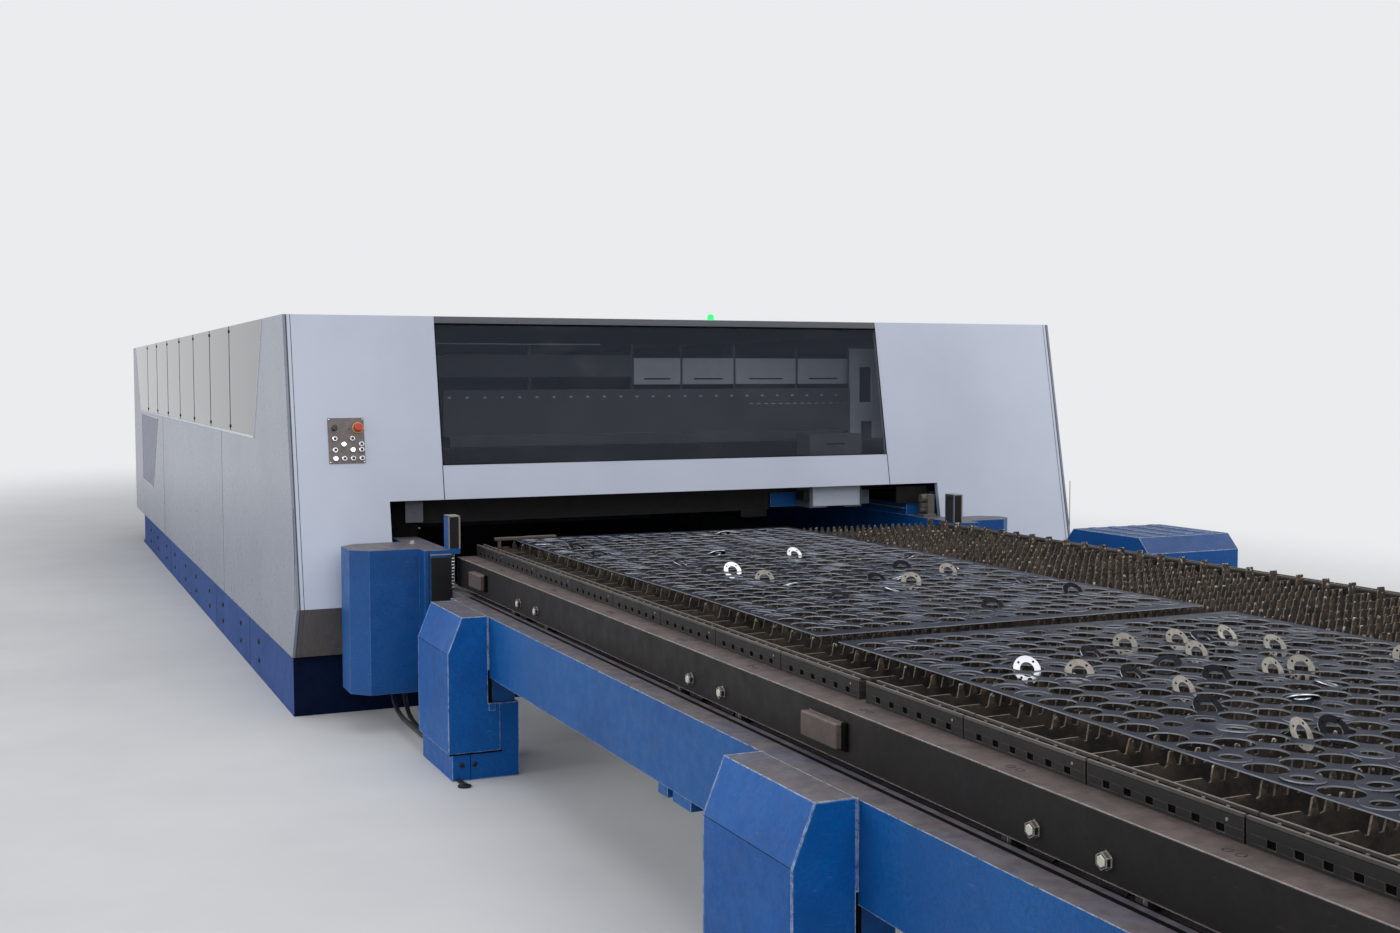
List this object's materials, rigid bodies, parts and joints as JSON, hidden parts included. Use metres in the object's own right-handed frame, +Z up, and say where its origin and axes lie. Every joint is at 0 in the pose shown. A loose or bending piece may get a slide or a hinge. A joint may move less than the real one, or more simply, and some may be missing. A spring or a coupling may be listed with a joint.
{
  "type": "fiber laser cutting machine",
  "caption": "Laser cutting machine: low cabin with a leaning front, and a lifting table that carries a wheeled pallet of sawtooth slats into its mouth.",
  "frame": {"origin": "on the floor under the middle of the machine's bounding box", "axes": "+X to the right seen from the table's end, +Y from the table into the cabin, +Z up"},
  "size_m": [4.38, 17.05, 1.932],
  "materials": {
    "navy_paint": "satin",
    "blue_paint": "satin",
    "white_paint": "gloss",
    "grey_paint": "satin",
    "tinted_glass": "gloss",
    "black_steel": "satin",
    "rusted_slats": "matte",
    "cut_sheet": "satin",
    "chrome": "polished",
    "red_plastic": "gloss",
    "black_rubber": "matte"
  },
  "bodies": {
    "cabin": {"bed": "blue_paint", "front_lintel": "white_paint", "front_panel_left": "white_paint", "front_panel_right": "white_paint", "front_window": "tinted_glass", "housing_cable_1": "black_rubber", "housing_cable_2": "black_rubber", "lift_column_left_1": "blue_paint", "lift_column_left_2": "blue_paint", "lift_column_left_3": "blue_paint", "lift_column_right_1": "blue_paint", "lift_column_right_2": "blue_paint", "lift_column_right_3": "blue_paint", "mouth_gear_left": "blue_paint", "mouth_gear_right": "blue_paint", "plinth": "navy_paint", "roof": "white_paint", "side_wall_left": "white_paint", "side_wall_right": "white_paint", "side_window_left": "tinted_glass", "side_window_right": "tinted_glass"},
    "table": {"lift_frame": "blue_paint"},
    "inner_track": {"inner_track": "grey_paint"},
    "pallet": {"pallet_frame": "black_steel", "slat_bank_rear": "rusted_slats", "slat_bank_front": "rusted_slats", "cut_sheet_rear": "cut_sheet", "cut_sheet_front": "cut_sheet"},
    "wheel_left_1": {"wheel_left_1": "black_steel"},
    "wheel_left_2": {"wheel_left_2": "black_steel"},
    "wheel_left_3": {"wheel_left_3": "black_steel"},
    "wheel_left_4": {"wheel_left_4": "black_steel"},
    "wheel_left_5": {"wheel_left_5": "black_steel"},
    "wheel_left_6": {"wheel_left_6": "black_steel"},
    "wheel_left_7": {"wheel_left_7": "black_steel"},
    "wheel_left_8": {"wheel_left_8": "black_steel"},
    "wheel_right_1": {"wheel_right_1": "black_steel"},
    "wheel_right_2": {"wheel_right_2": "black_steel"},
    "wheel_right_3": {"wheel_right_3": "black_steel"},
    "wheel_right_4": {"wheel_right_4": "black_steel"},
    "wheel_right_5": {"wheel_right_5": "black_steel"},
    "wheel_right_6": {"wheel_right_6": "black_steel"},
    "wheel_right_7": {"wheel_right_7": "black_steel"},
    "wheel_right_8": {"wheel_right_8": "black_steel"},
    "gantry": {"gantry": "black_steel"},
    "carriage": {"carriage": "grey_paint"},
    "cutting_head": {"cutting_head": "grey_paint"},
    "button_1": {"button_1": "chrome"},
    "button_2": {"button_2": "chrome"},
    "button_3": {"button_3": "chrome"},
    "button_4": {"button_4": "chrome"},
    "button_5": {"button_5": "chrome"},
    "button_6": {"button_6": "chrome"},
    "button_7": {"button_7": "chrome"},
    "button_8": {"button_8": "chrome"},
    "button_9": {"button_9": "chrome"},
    "button_10": {"button_10": "chrome"},
    "button_11": {"button_11": "chrome"},
    "selector_knob": {"selector_knob": "black_steel"},
    "emergency_stop": {"emergency_stop": "red_plastic"}
  },
  "joints": [
    {"name": "table_lift", "type": "slide", "parent": "cabin", "child": "table", "axis": [0, 0, 1], "range_m": [-0.1, 0]},
    {"name": "inner_track_lift", "type": "slide", "parent": "cabin", "child": "inner_track", "axis": [0, 0, 1], "range_m": [-0.1, 0]},
    {"name": "pallet_travel", "type": "slide", "parent": "table", "child": "pallet", "axis": [0, 1, 0], "range_m": [0, 8.9]},
    {"name": "wheel_left_1_roll", "type": "hinge", "parent": "pallet", "child": "wheel_left_1", "pos_m": [-1.508, -2.354, 0.7003], "axis": [1, 0, 0], "continuous": true},
    {"name": "wheel_left_2_roll", "type": "hinge", "parent": "pallet", "child": "wheel_left_2", "pos_m": [-1.508, -2.576, 0.7003], "axis": [1, 0, 0], "continuous": true},
    {"name": "wheel_left_3_roll", "type": "hinge", "parent": "pallet", "child": "wheel_left_3", "pos_m": [-1.508, -4.054, 0.7003], "axis": [1, 0, 0], "continuous": true},
    {"name": "wheel_left_4_roll", "type": "hinge", "parent": "pallet", "child": "wheel_left_4", "pos_m": [-1.508, -4.276, 0.7003], "axis": [1, 0, 0], "continuous": true},
    {"name": "wheel_left_5_roll", "type": "hinge", "parent": "pallet", "child": "wheel_left_5", "pos_m": [-1.508, -5.754, 0.7003], "axis": [1, 0, 0], "continuous": true},
    {"name": "wheel_left_6_roll", "type": "hinge", "parent": "pallet", "child": "wheel_left_6", "pos_m": [-1.508, -5.976, 0.7003], "axis": [1, 0, 0], "continuous": true},
    {"name": "wheel_left_7_roll", "type": "hinge", "parent": "pallet", "child": "wheel_left_7", "pos_m": [-1.508, -7.454, 0.7003], "axis": [1, 0, 0], "continuous": true},
    {"name": "wheel_left_8_roll", "type": "hinge", "parent": "pallet", "child": "wheel_left_8", "pos_m": [-1.508, -7.676, 0.7003], "axis": [1, 0, 0], "continuous": true},
    {"name": "wheel_right_1_roll", "type": "hinge", "parent": "pallet", "child": "wheel_right_1", "pos_m": [1.104, -2.354, 0.7003], "axis": [1, 0, 0], "continuous": true},
    {"name": "wheel_right_2_roll", "type": "hinge", "parent": "pallet", "child": "wheel_right_2", "pos_m": [1.104, -2.576, 0.7003], "axis": [1, 0, 0], "continuous": true},
    {"name": "wheel_right_3_roll", "type": "hinge", "parent": "pallet", "child": "wheel_right_3", "pos_m": [1.104, -4.054, 0.7003], "axis": [1, 0, 0], "continuous": true},
    {"name": "wheel_right_4_roll", "type": "hinge", "parent": "pallet", "child": "wheel_right_4", "pos_m": [1.104, -4.276, 0.7003], "axis": [1, 0, 0], "continuous": true},
    {"name": "wheel_right_5_roll", "type": "hinge", "parent": "pallet", "child": "wheel_right_5", "pos_m": [1.104, -5.754, 0.7003], "axis": [1, 0, 0], "continuous": true},
    {"name": "wheel_right_6_roll", "type": "hinge", "parent": "pallet", "child": "wheel_right_6", "pos_m": [1.104, -5.976, 0.7003], "axis": [1, 0, 0], "continuous": true},
    {"name": "wheel_right_7_roll", "type": "hinge", "parent": "pallet", "child": "wheel_right_7", "pos_m": [1.104, -7.454, 0.7003], "axis": [1, 0, 0], "continuous": true},
    {"name": "wheel_right_8_roll", "type": "hinge", "parent": "pallet", "child": "wheel_right_8", "pos_m": [1.104, -7.676, 0.7003], "axis": [1, 0, 0], "continuous": true},
    {"name": "gantry_travel", "type": "slide", "parent": "cabin", "child": "gantry", "axis": [0, 1, 0], "range_m": [0, 7.4]},
    {"name": "carriage_travel", "type": "slide", "parent": "gantry", "child": "carriage", "axis": [1, 0, 0], "range_m": [-2.08, 0.25]},
    {"name": "head_travel", "type": "slide", "parent": "carriage", "child": "cutting_head", "axis": [0, 0, 1], "range_m": [-0.095, 0]},
    {"name": "button_1_press", "type": "slide", "parent": "cabin", "child": "button_1", "axis": [0, 0.9811, -0.1935], "range_m": [0, 0.004], "stiffness_N_per_m": 400},
    {"name": "button_2_press", "type": "slide", "parent": "cabin", "child": "button_2", "axis": [0, 0.9811, -0.1935], "range_m": [0, 0.004], "stiffness_N_per_m": 400},
    {"name": "button_3_press", "type": "slide", "parent": "cabin", "child": "button_3", "axis": [0, 0.9811, -0.1935], "range_m": [0, 0.004], "stiffness_N_per_m": 400},
    {"name": "button_4_press", "type": "slide", "parent": "cabin", "child": "button_4", "axis": [0, 0.9811, -0.1935], "range_m": [0, 0.004], "stiffness_N_per_m": 400},
    {"name": "button_5_press", "type": "slide", "parent": "cabin", "child": "button_5", "axis": [0, 0.9811, -0.1935], "range_m": [0, 0.004], "stiffness_N_per_m": 400},
    {"name": "button_6_press", "type": "slide", "parent": "cabin", "child": "button_6", "axis": [0, 0.9811, -0.1935], "range_m": [0, 0.004], "stiffness_N_per_m": 400},
    {"name": "button_7_press", "type": "slide", "parent": "cabin", "child": "button_7", "axis": [0, 0.9811, -0.1935], "range_m": [0, 0.004], "stiffness_N_per_m": 400},
    {"name": "button_8_press", "type": "slide", "parent": "cabin", "child": "button_8", "axis": [0, 0.9811, -0.1935], "range_m": [0, 0.004], "stiffness_N_per_m": 400},
    {"name": "button_9_press", "type": "slide", "parent": "cabin", "child": "button_9", "axis": [0, 0.9811, -0.1935], "range_m": [0, 0.004], "stiffness_N_per_m": 400},
    {"name": "button_10_press", "type": "slide", "parent": "cabin", "child": "button_10", "axis": [0, 0.9811, -0.1935], "range_m": [0, 0.004], "stiffness_N_per_m": 400},
    {"name": "button_11_press", "type": "slide", "parent": "cabin", "child": "button_11", "axis": [0, 0.9811, -0.1935], "range_m": [0, 0.004], "stiffness_N_per_m": 400},
    {"name": "emergency_stop_press", "type": "slide", "parent": "cabin", "child": "emergency_stop", "axis": [0, 0.9811, -0.1935], "range_m": [0, 0.006], "stiffness_N_per_m": 1500},
    {"name": "selector_knob_turn", "type": "hinge", "parent": "cabin", "child": "selector_knob", "pos_m": [-1.976, -0.85132, 1.36091], "axis": [0, -0.9811, 0.1935], "range_deg": [-45, 45]}
  ],
  "couplings": [
    {"joint": "inner_track_lift", "follows": "table_lift", "ratio": 1},
    {"joint": "wheel_left_1_roll", "follows": "pallet_travel", "rad_per_m": -14.286},
    {"joint": "wheel_left_2_roll", "follows": "pallet_travel", "rad_per_m": -14.286},
    {"joint": "wheel_left_3_roll", "follows": "pallet_travel", "rad_per_m": -14.286},
    {"joint": "wheel_left_4_roll", "follows": "pallet_travel", "rad_per_m": -14.286},
    {"joint": "wheel_left_5_roll", "follows": "pallet_travel", "rad_per_m": -14.286},
    {"joint": "wheel_left_6_roll", "follows": "pallet_travel", "rad_per_m": -14.286},
    {"joint": "wheel_left_7_roll", "follows": "pallet_travel", "rad_per_m": -14.286},
    {"joint": "wheel_left_8_roll", "follows": "pallet_travel", "rad_per_m": -14.286},
    {"joint": "wheel_right_1_roll", "follows": "pallet_travel", "rad_per_m": -14.286},
    {"joint": "wheel_right_2_roll", "follows": "pallet_travel", "rad_per_m": -14.286},
    {"joint": "wheel_right_3_roll", "follows": "pallet_travel", "rad_per_m": -14.286},
    {"joint": "wheel_right_4_roll", "follows": "pallet_travel", "rad_per_m": -14.286},
    {"joint": "wheel_right_5_roll", "follows": "pallet_travel", "rad_per_m": -14.286},
    {"joint": "wheel_right_6_roll", "follows": "pallet_travel", "rad_per_m": -14.286},
    {"joint": "wheel_right_7_roll", "follows": "pallet_travel", "rad_per_m": -14.286},
    {"joint": "wheel_right_8_roll", "follows": "pallet_travel", "rad_per_m": -14.286}
  ]
}
